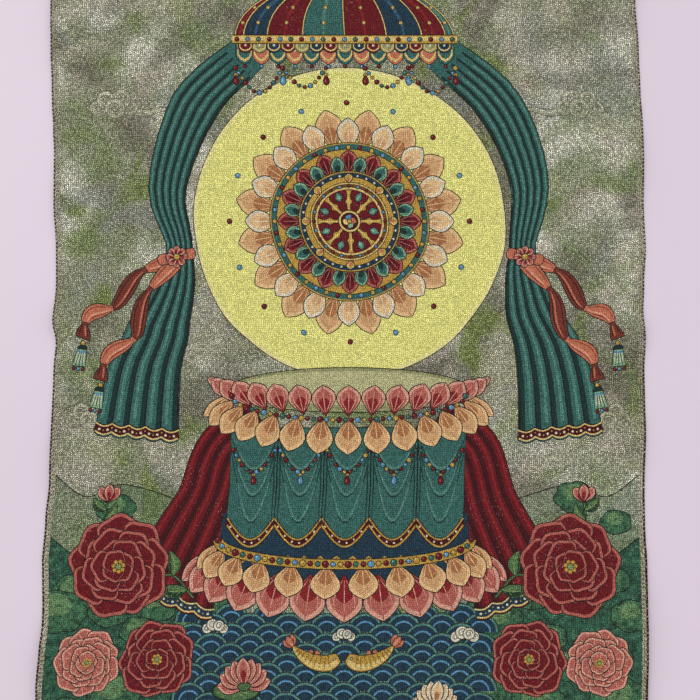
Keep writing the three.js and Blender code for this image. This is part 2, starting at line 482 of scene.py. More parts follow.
# A knot that ties a curtain: two bows with short creases, and a small flower over them
def knot(move):
    inked("orange", move(loop([-17 - 5j, -17 + 5j, 3.5j, 17 + 5j, 17 - 5j, -3.5j], 20)))
    for x in (-11, -6, 6, 11):
        lay("orangeDeep", move(band(np.array([x - 3.6j, x + 3.6j]), 1.0)))
    petalRing(move(0j), 8, 2, 9, 6.5, tones["rose"], 0.0, 1)
    bead(move(0j), 3.0, "gold")


# Rings of ruffled petals with thin pale rims round a gold heart, the outer ones darker in the middle
def peony(move, radius, flowerTones, seed):
    deep, middle, light = flowerTones
    away = np.linspace(0.4, 1.0, 3)
    rings = [(0.64, 9, 0.40), (0.46, 8, 0.35), (0.29, 6, 0.29), (0.14, 4, 0.21)]
    for ring, (far, count, size) in enumerate(rings):
        spots = np.arange(count)
        for turn in 360 * (spots + 0.5 * ring + 0.16 * np.sin(3.1 * spots + ring + seed)) / count:
            here = radius * heading(turn)
            ruffle = ruffled(size * (1 + 0.10 * np.sin(5 * turn + seed)), 5, 0.07, 25)
            shape = here * (0.86 * ruffle.real + 1.02j * ruffle.imag)
            inked(light, move(far * here + shape), 0.85)
            lay(middle, move((far - 0.025) * here + 0.90 * shape))
            if ring < 3:
                lay(deep, move((far - 0.14) * here + 0.56 * shape))
            for bend in (-0.36, 0.30):
                vein = (far - 0.04) * here + here * size * away * (0.76 + 1j * bend)
                line("redLight" if middle == "red" else light, move(vein), 0.9)
    for place in 0.10 * radius * circle(1, 7):
        lay("gold", move(place + circle(0.035 * radius + 0.4, 5)))
    inked("leafLight", move(circle(0.06 * radius, 7)), 0.6)


# A leaf along +x with a midrib and side veins, bent by bow times half a sine wave
def leaf(move, length, width, bow):
    def bent(shape):
        return move(shape + 1j * bow * length * np.sin(np.pi * shape.real / length))
    inked("leaf", bent(petal(length, width, 0.85, 0.9)), 0.85)
    lay("leafDeep", bent(petal(0.94 * length, 0.9 * width, 0.85, 0.9)[8:]))
    line("leafLight", bent(np.linspace(0.02, 0.97, 8) * length + 0j), 1.1)
    for share in (0.25, 0.46, 0.66):
        reach = 0.36 * width * np.sin(np.pi * share ** 0.85)
        for side in (-1, 1):
            vein = share * length + np.linspace(0, 1, 2) * (0.12 * length + 1j * side * reach)
            line("leafLight", bent(vein), 0.8)


# A curling stem with five leaves to both sides and, if wanted, a bud at its end
def spray(move, points, leafLength, leafWidth, bud):
    path = curve(points, 40)
    lay("ink", move(band(path, 3.4)))
    lay("leaf", move(band(path, 1.8)))
    aim = np.degrees(np.angle(np.gradient(path)))
    for number in range(5):
        at = int((number + 0.6) * 38 / 5)
        side = 1 if number % 2 else -1
        here = within(move, path[at], aim[at] + side * (48 + 8 * (number % 3)), 1.0 - 0.05 * number)
        leaf(here, leafLength, leafWidth, 0.12 * side)
    for turn in (-34, 34, 0) if bud else ():
        here = within(move, path[-1], aim[-1] + turn)
        shadedPetal(here, 0.8 * leafLength, 0.42 * leafLength, tones["rose"], 1)


# A curled cloud: round lobes with spiral lines, and a tail that thins out, in tones close to the mist
def cloud(move, size):
    def edged(thread, outline):
        lay("cloudLine", move(grown(outline, 0.8)))
        lay(thread, move(outline))
    tail = size * curve([-10 - 3j, -30 - 9j, -50 - 5j, -78 - 12j], 16)
    edged("cloud", band(tail, np.linspace(9, 0.8, 16) * size))
    line("cloudLight", move(tail[1:-2] + 0.8j * size), 1.8 * size)
    for place, radius in ((-15 - 3j, 8), (17 - 4j, 8), (-7 + 6j, 9.5), (9 + 5j, 9), (-4j, 10)):
        edged("cloudLight", (place + circle(radius, 18)) * size)
        lay("cloud", move((place - 0.14j * radius + circle(0.80 * radius, 16)) * size))
        lay("cloudLine", move(band((place + radius * spiral(0.58, 0.18, 1.3, 0.6, 15)) * size, 0.8)))


# A crest of foam: a curl of lobes with spiral lines
def foam(move, size):
    for place, radius in ((-9, 5), (9, 5), (-3 + 4j, 6), (4 + 3j, 5.5)):
        inked("cream", move((place + circle(radius, 16)) * size), 0.8)
        lay("navyLight", move(band((place + radius * spiral(0.72, 0.22, 1.2, 0, 16)) * size, 0.9)))


# A bush: a heap of rounds in one outline, with a paler heap on its sunny side and short dark strokes.
# The heap's radius is 1 plus 0.13 times a sine wave without its sign, and it is flattened to 0.74
def bush(place, radius, seed):
    angle = np.linspace(0, tau, 36, endpoint=False)
    bumps = 5 + seed % 3
    heap = (1 + 0.13 * np.abs(np.sin(0.5 * bumps * angle + seed))) * np.exp(1j * angle)
    heap = heap.real + 0.74j * heap.imag
    inked("bush", place + radius * heap)
    lay("bushLight", place + radius * (0.56 * heap[::2] - 0.10 + 0.26j))
    for turn in (27, 81, 144):
        stroke = radius * heading(turn + np.linspace(0, 25.2, 4))
        line("ink", place - 0.12j * radius + 0.5 * stroke.real + 0.34j * stroke.imag, 0.9)


# A hill: a smooth ridge down to a level base, with bushes along the ridge and over its slope
def hill(points, base, thread, random, bushes, bushSize, mirror):
    move = moved(mirror=mirror)
    ridge = curve(points, 40)
    inked(thread, move(np.concatenate([ridge, [ridge[-1].real + 1j * base, ridge[0].real + 1j * base]])), 1.0)
    for number, deep in enumerate(np.sort(random.random(bushes)) ** 1.2):
        place = ridge[int(((number * 0.618) % 1) * 39)]
        size = bushSize * (0.6 + 0.5 * deep + 0.5 * random.random())
        bush(move(place - 0.9j * deep * (place.imag - base)), size, number)


# Overlapping scale-shaped waves, row over row, each of two pale rings
def waves(left, right, top, base, radius):
    arc = np.exp(1j * np.linspace(0, np.pi, 9))
    rings = (("ink", 1.0), ("tealLight", 0.95), ("navy", 0.84), ("blue", 0.58), ("navy", 0.49))
    for row in range(int((top - base) / (0.5 * radius)) + 1):
        for x in np.arange(left + radius * (row % 2), right + 1, 2 * radius):
            place = x + 1j * (top - 0.5 * radius * row)
            for thread, share in rings:
                lay(thread, place + radius * share * arc)


# A lotus from the side: petals fanned out from one foot, the outer ones behind
def sideLotus(move, size, petalTones):
    for turn in (-78, 78, -56, 56, -36, 36, -18, 18, 0):
        length = size * (1.0 - 0.10 * abs(turn) / 78)
        shadedPetal(within(move, 0, 90 - turn), length, 0.46 * size, petalTones, 2, 9)
    cup = loop([-0.2, -0.1 - 0.14j, 0.1 - 0.14j, 0.2, 0.1 + 0.06j, -0.1 + 0.06j], 14)
    inked("leaf", move(size * (0.1j + cup)))


# A round lily pad seen aslant, with rays
def lilyPad(place, radius):
    inked("leafDeep", place + oval(radius, 0.42 * radius, 26))
    lay("leaf", place + oval(0.92 * radius, 0.38 * radius, 26))
    for turn in np.arange(10, 360, 36):
        ray = np.linspace(0.12, 0.86, 4) * radius * heading(turn)
        line("leafLight", place + ray.real + 0.42j * ray.imag, 0.9)


# The front of an oval seat from side to side: x = wide sin(share pi / 2), y = -deep cos(share pi / 2)
def seatFront(wide, deep, share):
    return wide * np.sin(0.5 * np.pi * share) - 1j * deep * np.cos(0.5 * np.pi * share)


# Lotus petals along the front of an oval seat, the middle ones over the outer ones
def seatPetals(centre, wide, deep, count, length, width, petalTones, down, spread):
    for share in sorted(np.linspace(-1, 1, count), key=lambda place: -abs(place)):
        aim = (-90 + share * spread) if down else (90 - share * spread)
        narrow = 0.45 + 0.55 * np.cos(0.5 * np.pi * share) ** 0.6
        shadedPetal(moved(centre + seatFront(wide, deep, share), aim), length, width * narrow, petalTones)


# A drawn curtain: a strip that widens and narrows along its path, with folds that follow it, and a
# patterned hem across its end
def curtain(move, points, widths, curtainTones, hem):
    deep, middle, light = curtainTones
    folds = 5
    path = curve(points, 30)
    wide = np.interp(np.linspace(0, 1, 30), np.linspace(0, 1, len(widths)), widths)
    along = unit(np.gradient(path))
    side = 0.5j * wide * along

    def strip(low, high, first, last):
        part = slice(first, last)
        return np.concatenate([(path + side * low)[part], (path + side * high)[part][::-1]])
    across = np.linspace(-1, 1, 4 * folds + 1)
    scallop = 3.2 * np.abs(np.sin(0.5 * np.pi * folds * (across + 1)))
    foot = path[-1] + side[-1] * across + along[-1] * scallop
    inked(middle, move(np.concatenate([path + side, foot[::-1], (path - side)[::-1]])), 1.0)
    stripes = ((deep, 0, 0.62, 1, 30), ("ink", -0.12, 0.04, 2, 30), (light, 1.1, 1.5, 2, 29))
    for fold in range(folds):
        left = -1 + 2 * (fold + 0.08) / folds
        for thread, low, high, first, last in stripes:
            lay(thread, move(strip(left + low / folds, left + high / folds, first, last)))
    borders = (("ink", 11.4, 1.0), (hem, 6.2, 9.4), ("goldLight", 10.0, 1.3), ("goldLight", 1.8, 1.5))
    for thread, back, thick in borders:
        lay(thread, move(band(foot - along[-1] * back, thick)))
    dots = foot - along[-1] * 5.9
    for thread, first, radius, count in (("cream", 1, 1.35, 6), ("gold", 2, 0.9, 4)):
        for place in dots[first:-1:2]:
            lay(thread, move(place + circle(radius, count)))


# A cloth that hangs in swags: scalloped foot, fold lines, and a border of dots. A swag's foot sinks by
# half a sine wave of its share t
def hangingCloth(left, right, top, fall, swags, clothTones):
    deep, middle, light = clothTones
    step = (right - left) / swags
    t = np.linspace(0, 1, 14)
    sink = np.sin(np.pi * t)
    rims = [left + step * (swag + t) + 1j * (top - fall * (0.82 + 0.18 * sink)) for swag in range(swags)]
    inked(middle, np.concatenate([[left + 1j * top], *rims, [right + 1j * top]]), 1.0)
    borders = (("ink", 9.2, 1.0), ("redDeep", 5.0, 7.4), ("gold", 8.2, 1.3), ("gold", 1.4, 1.6))
    for swag, rim in enumerate(rims):
        for far in (0.30, 0.48, 0.66):
            sag = left + step * (swag + 0.5 + 0.98 * (t - 0.5))
            sag = sag + 1j * (top - fall * far * (0.30 + 0.9 * sink))
            line(deep, sag, 1.5)
            line(light, sag[2:-2] + 2.4j, 2.6)
        for thread, up, thick in borders:
            lay(thread, band(rim + 1j * up, thick))
        for place in (rim + 4.8j)[1:-1:2]:
            lay("cream", place + circle(1.1, 6))
        if swag:
            fold = left + step * swag + 1j * (top - np.linspace(0, 0.80 * fall, 6))
            for thread, shift, thick in (("ink", 0, 1.4), (deep, -3, 1.3), (deep, 3, 1.3)):
                line(thread, fold + shift, thick)


# A canopy in gores over a rim with two rows of flaps. A rib is a quarter of an oval, which narrows from
# the middle to nothing at the sides of the dome
def parasol(centre, wide, high):
    gores = 8
    rise = np.linspace(0, 0.5 * np.pi, 12)

    def rib(share):
        return centre + wide * np.cos(np.pi * share) * np.cos(rise) + 1j * high * np.sin(rise)
    around = np.linspace(0, np.pi, 40)
    inked("red", centre + wide * np.cos(around) + 1j * high * np.sin(around), 1.1)
    for gore in range(gores):
        near, far = rib(gore / gores), rib((gore + 1) / gores)
        thread = ("teal", "red", "navy", "red")[gore % 4]
        lay(thread, np.concatenate([near, far[::-1]]))
        middle = 0.5 * (near + far)
        line(thread + "Light", middle[:-1], 3.2)
        for place in middle[2:8:2]:
            inked("gold", place + circle(1.9, 8), 0.6)
            lay("cream", place + circle(0.7, 5))
    for gore in range(gores + 1):
        lay("ink", band(rib(gore / gores), 2.4))
        lay("goldLight", band(rib(gore / gores), 1.0))
    flap = np.array([-0.5, -0.5 - 0.7j, -0.3 - 0.9j, -1.0j, 0.3 - 0.9j, 0.5 - 0.7j, 0.5])
    tiers = [(26, 13, ("teal", "orange")), (14, 15, ("red", "sage", "navy"))]
    for tier, (fall, flaps, colours) in enumerate(tiers):
        reach = wide * (0.99 - 0.02 * tier)
        step = 2 * reach / flaps
        for number in range(flaps):
            place = centre - reach + step * (number + 0.5)
            thread = colours[number % len(colours)]
            inked(thread, place + step * flap.real + 1j * fall * flap.imag, 0.8)
            lay("goldLight", place + 0.86 * step * flap.real + 0.90j * fall * flap.imag)
            lay(thread, place + 0.72 * step * flap.real + 0.80j * fall * flap.imag)
            lay("cream", place - 0.45j * fall + circle(1.3, 6))
            if tier == 0:
                bead(place - 1j * (fall + 2.2), 1.7, ("red", "blue")[number % 2])
    rim = np.array([-wide - 3 + 4j, wide + 3 + 4j, wide + 3 - 4j, -wide - 3 - 4j])
    inked("gold", centre + rim, 1.0)
    lay("goldLight", centre + rim.real + 0.55j * rim.imag + 0.8j)
    for number, x in enumerate(np.linspace(-wide + 2, wide - 2, 21)):
        bead(centre + x, 2.0, ("red", "blue", "teal")[number % 3])


# A fish: a body along a curved spine, half as wide as a leaning sine wave, with scales, fins and a tail
def fish(move, size):
    spine = size * curve([-24 + 2j, -12 - 4j, 4 - 2j, 18 + 6j, 26 + 14j], 26)
    share = np.linspace(0.04, 1, 26)
    along = unit(np.gradient(spine))
    side = 1j * along * size * (7.5 * np.sin(np.pi * share ** 0.62) ** 0.8 + 0.8)
    for turn in (28, -18, 5):
        aim = size * along[-1] * heading(turn)
        inked("orange", move(spine[-2] + aim * petal(15, 7, 1.4, 0.9)), 0.8)
        line("orangeLight", move(spine[-2] + aim * np.linspace(2, 13, 5)), 1.2)
    for at, reach in ((10, 9), (14, 7)):
        fin = size * np.exp(0.9j) * along[at] * petal(reach, 5, 1.2)
        inked("orange", move(spine[at] + 0.7 * side[at] + fin), 0.8)
    inked("gold", move(np.concatenate([spine + side, (spine - side)[::-1]])))
    belly = np.concatenate([spine - 0.1 * side, (spine - 0.86 * side)[::-1]])
    lay("goldLight", move(belly[1:-1]))
    scale = 2.0 * size * np.exp(1j * np.linspace(0.5 * np.pi, 1.5 * np.pi, 6))
    for at in range(6, 23, 2):
        for across in np.array([-0.5, 0.0, 0.5]) + 0.22 * (at // 2 % 2):
            lay("goldDeep", move(band(spine[at] + across * side[at] + scale * along[at], 0.7)))
    for thread, radius, count in (("ink", 1.7, 8), ("cream", 0.9, 6)):
        lay(thread, move(spine[2] + 0.2 * side[2] + circle(radius * size, count)))


# A grass tuft: thin blades from one foot, each bent by half a sine wave
def grass(place, size, random):
    share = np.linspace(0, 1, 5)
    for lean in np.linspace(-0.8, 0.8, 6):
        tip = size * (0.8 + 0.4 * random.random()) * np.exp(1j * (0.5 * np.pi - 0.8 * lean))
        blade = place + tip * share + 0.12j * size * np.sin(np.pi * share)
        line("leafDeep", blade, 2.2)
        line("leafLight", blade[:-1] + 0.2)


# Where the main things of the picture stand, in millimetres from its middle
picture = {
    "seed": 11,
    "moonAt": 112j,
    "moonRadius": 157,
    "jewelAt": 378j,
    "parasolAt": 300j,
    "parasolWide": 112,
    "parasolHigh": 62,
    "farRidge": [70 - 262j, 120 - 190j, 168 - 168j, 226 - 152j, 262 - 164j, 300 - 138j],
    "nearRidge": [96 - 420j, 130 - 262j, 176 - 236j, 216 - 214j, 256 - 226j, 300 - 200j],
    "hillBase": -470,
}


# Clouds in the mist, then the moon and the hills
def drawBackdrop(random):
    for place, size in ((236 + 232j, 1.0), (196 + 396j, 1.1), (262 - 84j, 0.9)):
        bothSides(cloud, place, 0, 1, size)
    for thread, more in (("ink", 2.0), ("moonRim", 1.2), ("moon", -2.6)):
        lay(thread, picture["moonAt"] + circle(picture["moonRadius"] + more, 120))
    for mirror in (False, True):
        hill(picture["farRidge"], picture["hillBase"], "hillFar", random, 7, 17, mirror)
        hill(picture["nearRidge"], picture["hillBase"], "hill", random, 24, 20, mirror)


# Curtains drawn aside from the parasol, tied with knots from which ribbons float
def drawCurtains():
    path = [98 + 286j, 154 + 232j, 184 + 150j, 174 + 84j, 183 + 30j, 206 - 34j, 214 - 104j]
    bothSides(curtain, 0, 0, 1, path, (40, 48, 38, 24, 48, 72, 84), tones["teal"], "redDeep")
    bothSides(ribbon, 0, 0, 1, [178 + 74j, 216 + 58j, 238 + 26j, 262 + 18j, 272 - 6j], 15)
    bothSides(ribbon, 0, 0, 1, [178 + 70j, 208 + 36j, 218 - 4j, 244 - 22j, 252 - 48j], 15)
    bothSides(tassel, 272 - 14j, 6, 1, 0.95)
    bothSides(tassel, 252 - 56j, 10, 1, 0.95)
    bothSides(knot, 177 + 76j, -12, 1)


# A lotus in rings round a wheel, on the moon
def drawMoonLotus():
    centre = picture["moonAt"]
    petalRing(centre, 16, 74, 42, 27, tones["tan"], 0.5)
    petalRing(centre, 16, 72, 34, 22, ("tan", "tanLight", "cream"))
    ringBand(centre, 76, 7, "teal")
    beadRing(centre, 76, 40, 2.0, ["gold", "red", "gold", "blue"])
    petalRing(centre, 16, 48, 25, 17, tones["redRose"])
    petalRing(centre, 16, 46, 21, 13, ("tealDeep", "teal", "mint"), 0.5, 1)
    ringBand(centre, 47, 6, "navy")
    for place in centre + circle(47, 32):
        lay("cream", place + circle(1.2, 6))
    wheel(centre, 40)
    beadRing(centre, 122, 16, 2.3, ["red", "blue"])


# The parasol over the moon, with a lotus and a fiery jewel on its top and strings of beads under it
def drawParasol():
    fieryJewel(moved(picture["jewelAt"]), 11)
    parasol(picture["parasolAt"], picture["parasolWide"], picture["parasolHigh"])
    top = picture["parasolAt"] + 60j
    inked("rose", top + loop([-14, -8 - 6j, 8 - 6j, 14, 6 + 8j, -6 + 8j], 20))
    for turn in (-50, 50, -25, 25, 0):
        shadedPetal(moved(top, 90 + turn), 17, 9, tones["rose"], 1)
    share = np.linspace(0, 1, 14)
    for start, end, sag in ((-112, -64, 26), (-64, -20, 20), (20, 64, 20), (64, 112, 26)):
        beadString(start + (end - start) * share + 1j * (270 - sag * np.sin(np.pi * share)), 6.0, 1.6)
    for x in (-112, -64, -20, 20, 64, 112):
        drop(moved(x + 268j), 1.25, "blue" if abs(x) == 64 else "red")


# The seat: red cloths at its sides, a swagged one in front, and a drum with studs under it; then a
# second row of great petals at its foot, over the water
def drawSeat():
    bothSides(curtain, 0, 0, 1, [86 - 92j, 122 - 120j, 138 - 170j, 160 - 222j, 176 - 268j],
              (56, 62, 66, 80, 92), tones["red"], "navy")
    bothSides(spray, 150 - 262j, 14, 1.0, [0, 26 + 16j, 52 + 2j, 80 + 14j], 26, 13, True)
    inked("navy", np.array([-122 - 180j, 122 - 180j, 128 - 244j, -128 - 244j]))
    for x in np.linspace(-104, 104, 14):
        inked("gold", x - 226j + np.array([-6, 4.6j, 6, -4.6j]), 0.7)
        lay("redLight", x - 226j + np.array([-3.4, 2.6j, 3.4, -2.6j]))
    half, swags = 118, 5
    hangingCloth(-half, half, -96, 118, swags, tones["teal"])
    share = np.linspace(0, 1, 12)
    for swag in range(swags):
        x = -half + 2 * half / swags * (swag + 0.5)
        beadString(x + 42 * (share - 0.5) + 1j * (-118 - 22 * np.sin(np.pi * share)), 5.6, 1.6, swag)
        drop(moved(x - 138j), 1.1, ("red", "blue")[swag % 2])
    seatPetals(-62j, half, 24, 15, 36, 27, tones["tan"], True, 52)
    inked("sage", -58j + oval(122, 22))
    lay("sageLight", -56j + oval(112, 17))
    seatPetals(-62j, half, 22, 17, 30, 24, tones["rose"], False, 58)
    beadString(-64j + seatFront(half, 24, np.linspace(-1, 1, 50)), 6.4, 1.9)
    seatPetals(-214j, 128, 26, 13, 46, 36, tones["rose"], True, 46)
    seatPetals(-208j, 124, 22, 12, 34, 30, tones["tan"], True, 40)
    foot = -206j + seatFront(126, 24, np.linspace(-1, 1, 60))
    inked("gold", band(foot, 9.0))
    beadString(foot, 7.6, 2.3)


def drawFoam(places):
    for place, turn, size in places:
        foam(moved(place, turn), size)


# Blossoms on the banks, then water plants, fish, foam and grass
def drawPlants(random):
    bothSides(spray, 176 - 356j, 60, 0.9, [0, 20 + 22j, 46 + 16j, 70 + 34j], 26, 14, False)
    bothSides(spray, 224 - 220j, 70, 0.8, [0, 22 + 8j, 44 - 4j, 66 + 4j], 28, 14, True)
    for place, turn, radius, flowerTones, seed in (
            (224 - 232j, 10, 50, "redRose", 0), (252 - 324j, 40, 32, "rose", 3),
            (184 - 322j, 0, 38, "redRose", 5), (232 - 402j, 25, 40, "redRose", 8)):
        bothSides(peony, place, turn, 1, radius, tones[flowerTones], seed)
    for place, radius in ((-104 - 352j, 24), (96 - 372j, 26), (-20 - 420j, 30), (70 - 428j, 20),
                          (-120 - 424j, 22)):
        lilyPad(place, radius)
    sideLotus(moved(-96 - 350j, 6), 30, tones["rose"])
    sideLotus(moved(92 - 368j, -8), 26, ("tanDeep", "tanLight", "cream"))
    bothSides(fish, 26 - 322j, 0, 0.9, 1.0)
    drawFoam([(-384j, 0, 1.1), (-60 - 392j, 10, 0.9), (44 - 400j, -8, 0.9), (-150 - 380j, 0, 1.0),
              (150 - 392j, 0, 1.0)])
    for x in np.linspace(-280, 280, 17):
        grass(x + 1j * (-440 + 6 * np.sin(x)), 20, random)


# All of it, from back to front
def drawPicture():
    random = np.random.default_rng(picture["seed"])
    drawBackdrop(random)
    drawCurtains()
    drawMoonLotus()
    drawParasol()
    waves(-150, 150, -286, picture["hillBase"] + 10, 19)
    drawFoam([(-128 - 292j, 0, 0.9), (120 - 300j, 0, 1.0), (-300j, 0, 0.8)])
    drawSeat()
    drawPlants(random)


# Cells of a grid over the picture in which the last outline laid is the numbered one, and 0 for none.
# A cell is inside an outline where the edges to its left wind round it
def topOutlines(shapes, cell, halfWide, halfLong):
    across, along = int(2 * halfWide / cell), int(2 * halfLong / cell)
    top = np.zeros((along, across), np.int32)
    for number, outline in enumerate(shapes, 1):
        x = (outline.real + halfWide) / cell
        y = (outline.imag + halfLong) / cell
        nextX, nextY = np.roll(x, -1), np.roll(y, -1)
        firstRow, lastRow = max(0, int(y.min())), min(along, int(y.max()) + 1)
        firstColumn, lastColumn = max(0, int(x.min())), min(across, int(x.max()) + 1)
        if firstRow >= lastRow or firstColumn >= lastColumn:
            continue
        middle = np.arange(firstRow, lastRow) + 0.5
        crossed = (np.minimum(y, nextY)[:, None] <= middle) & (middle < np.maximum(y, nextY)[:, None])
        edge, row = np.nonzero(crossed)
        at = x[edge] + (middle[row] - y[edge]) * (nextX - x)[edge] / (nextY - y)[edge]
        wide = lastColumn - firstColumn + 1
        column = np.clip(np.ceil(at - 0.5).astype(int) - firstColumn, 0, wide - 1)
        turns = np.bincount(row * wide + column, np.sign(nextY - y)[edge], wide * len(middle))
        inside = np.cumsum(turns.reshape(-1, wide), 1)[:, :-1] != 0
        top[firstRow:lastRow, firstColumn:lastColumn][inside] = number
    return top


# The edges of the outlines that can be seen: those with their own shape just inside them at one of
# three places, and with another thread just outside
def seenEdges(shapes, shapeThreads, halfWide, halfLong, cell=0.35, reach=0.28):
    top = topOutlines(shapes, cell, halfWide, halfLong)
    lengths = np.array([len(outline) for outline in shapes])
    owner = np.repeat(np.arange(1, len(shapes) + 1), lengths)
    start = np.concatenate(shapes)
    after = np.concatenate([np.roll(outline, -1) for outline in shapes])
    follow = np.arange(len(start)) + 1
    follow[np.cumsum(lengths) - 1] -= lengths
    inwards = 1j * unit(after - start) * np.array([winding(outline) for outline in shapes])[owner - 1]
    threadOf = np.concatenate([[-1], shapeThreads])

    def topAt(place):
        column = np.clip(((place.real + halfWide) / cell).astype(int), 0, top.shape[1] - 1)
        row = np.clip(((place.imag + halfLong) / cell).astype(int), 0, top.shape[0] - 1)
        return top[row, column]
    seen = np.zeros(len(start), bool)
    for share in (0.15, 0.5, 0.85):
        place = start + share * (after - start)
        inner, outer = topAt(place + reach * inwards), topAt(place - reach * inwards)
        inPicture = (np.abs(place.real) < halfWide) & (np.abs(place.imag) < halfLong)
        seen |= inPicture & (inner == owner) & (threadOf[inner] != threadOf[outer])
    return start, np.stack([np.arange(len(start)), follow], 1)[seen]


# The number of the last outline round each place, or 0: a place is inside where the edges to its left
# wind round it
def outlinesRound(shapes, places):
    order = np.argsort(places.imag)
    x, y = places.real[order], places.imag[order]
    found = np.zeros(len(places), np.int32)
    for number, outline in enumerate(shapes, 1):
        low, high = np.searchsorted(y, [outline.imag.min(), outline.imag.max()])
        near = low + np.nonzero((x[low:high] >= outline.real.min()) & (x[low:high] <= outline.real.max()))[0]
        if len(near) == 0:
            continue
        start, end = outline[:, None], np.roll(outline, -1)[:, None]
        crossed = (np.minimum(start.imag, end.imag) <= y[near]) & (y[near] < np.maximum(start.imag, end.imag))
        steep = np.where(end.imag == start.imag, 1, end.imag - start.imag)
        at = start.real + (y[near] - start.imag) * (end.real - start.real) / steep
        turns = np.sum(np.where(crossed & (at < x[near]), np.sign(end.imag - start.imag), 0), 0)
        found[near[turns != 0]] = number
    result = np.zeros(len(places), np.int32)
    result[order] = found
    return result


# Places of the grid's lines: even steps from end to end, extra ones where asked, none closer than the gap
def gridLines(end, step, extra, gap=3.0):
    even = np.linspace(-end, end, int(round(2 * end / step)) + 1)
    clear = [place for place in even if np.min(np.abs(extra - place)) > gap or abs(place) == end]
    return np.unique(np.concatenate([extra, clear]))


# The outline with its long edges divided into even parts
def divided(outline, longest):
    after = np.roll(outline, -1)
    parts = np.maximum(1, np.ceil(np.abs(after - outline) / longest)).astype(int)
    share = (np.arange(parts.sum()) - np.repeat(np.cumsum(parts) - parts, parts)) / np.repeat(parts, parts)
    return np.repeat(outline, parts) + share * np.repeat(after - outline, parts)


# The flat cloth's face as triangles that follow the grid, the picture's border and all that can be seen
# of its outlines. Returns the points, the triangles, each triangle's thread, and the numbers of the
# rim's points in the face and in the bare grid
def flatFace(u, v, border, shapes, shapeThreads, pictureWide, pictureLong):
    rows, columns = u.shape

    # a ring of grid points, some lines in from the rim of the cloth
    def ring(inset):
        index = np.arange(rows * columns).reshape(rows, columns)[inset:rows - inset, inset:columns - inset]
        return np.concatenate([index[0], index[1:, -1], index[-1, -2::-1], index[-2:0:-1, 0]])
    rim = ring(0)
    points, edges = seenEdges(shapes, shapeThreads, pictureWide, pictureLong)
    used, edges = np.unique(edges, return_inverse=True)
    points = np.concatenate([(u + 1j * v).ravel(), points[used]])
    rings = [np.stack([corners, np.roll(corners, -1)], 1) for corners in (rim, ring(border))]
    edges = np.concatenate([*rings, u.size + edges.reshape(-1, 2)])
    print("outlines", len(shapes), "with", sum(map(len, shapes)), "points, of which seen", len(used))
    made = delaunay_2d_cdt(np.stack([points.real, points.imag], 1).tolist(), edges.tolist(), [], 0, 1e-4)
    place = np.array([tuple(point) for point in made[0]])
    place = place[:, 0] + 1j * place[:, 1]
    faces = np.array(made[2])
    first, second, third = place[faces].T
    turned = np.imag(np.conj(second - first) * (third - first)) < 0
    faces[turned] = faces[turned][:, ::-1]

    centre = place[faces].mean(1)
    names = list(threads)
    thread = np.concatenate([[names.index("mist")], shapeThreads])[outlinesRound(shapes, centre)]
    thread[(np.abs(centre.real) > pictureWide) | (np.abs(centre.imag) > pictureLong)] = names.index("margin")
    origin = {source: number for number, sources in enumerate(made[3]) for source in sources}
    return place, faces, thread, np.array([origin[corner] for corner in rim]), rim


# An unwrapping for bakes: the face large, the back at half scale beside it, and the wall as a strip
def unwrap(mesh, flat, faces, backFaces, wall):
    share = np.stack([flat.real / panel["width"], flat.imag / panel["length"]], 1) + 0.5
    step = np.arange(len(wall))[:, None] + np.array([0, 1, 1, 0])
    strip = np.stack([0.68 + 0.30 * step / len(wall), 0.5 + 0.1 * np.array([0, 0, 1, 1]) + 0 * step], -1)
    places = np.concatenate([0.01 + share[faces.ravel()] * (0.6533, 0.98),
                             (0.68, 0.01) + share[backFaces.ravel()] * (0.30, 0.45), strip.reshape(-1, 2)])
    mesh.uv_layers.new(name="OFBake").data.foreach_set("uv", places.astype(np.float32).ravel())


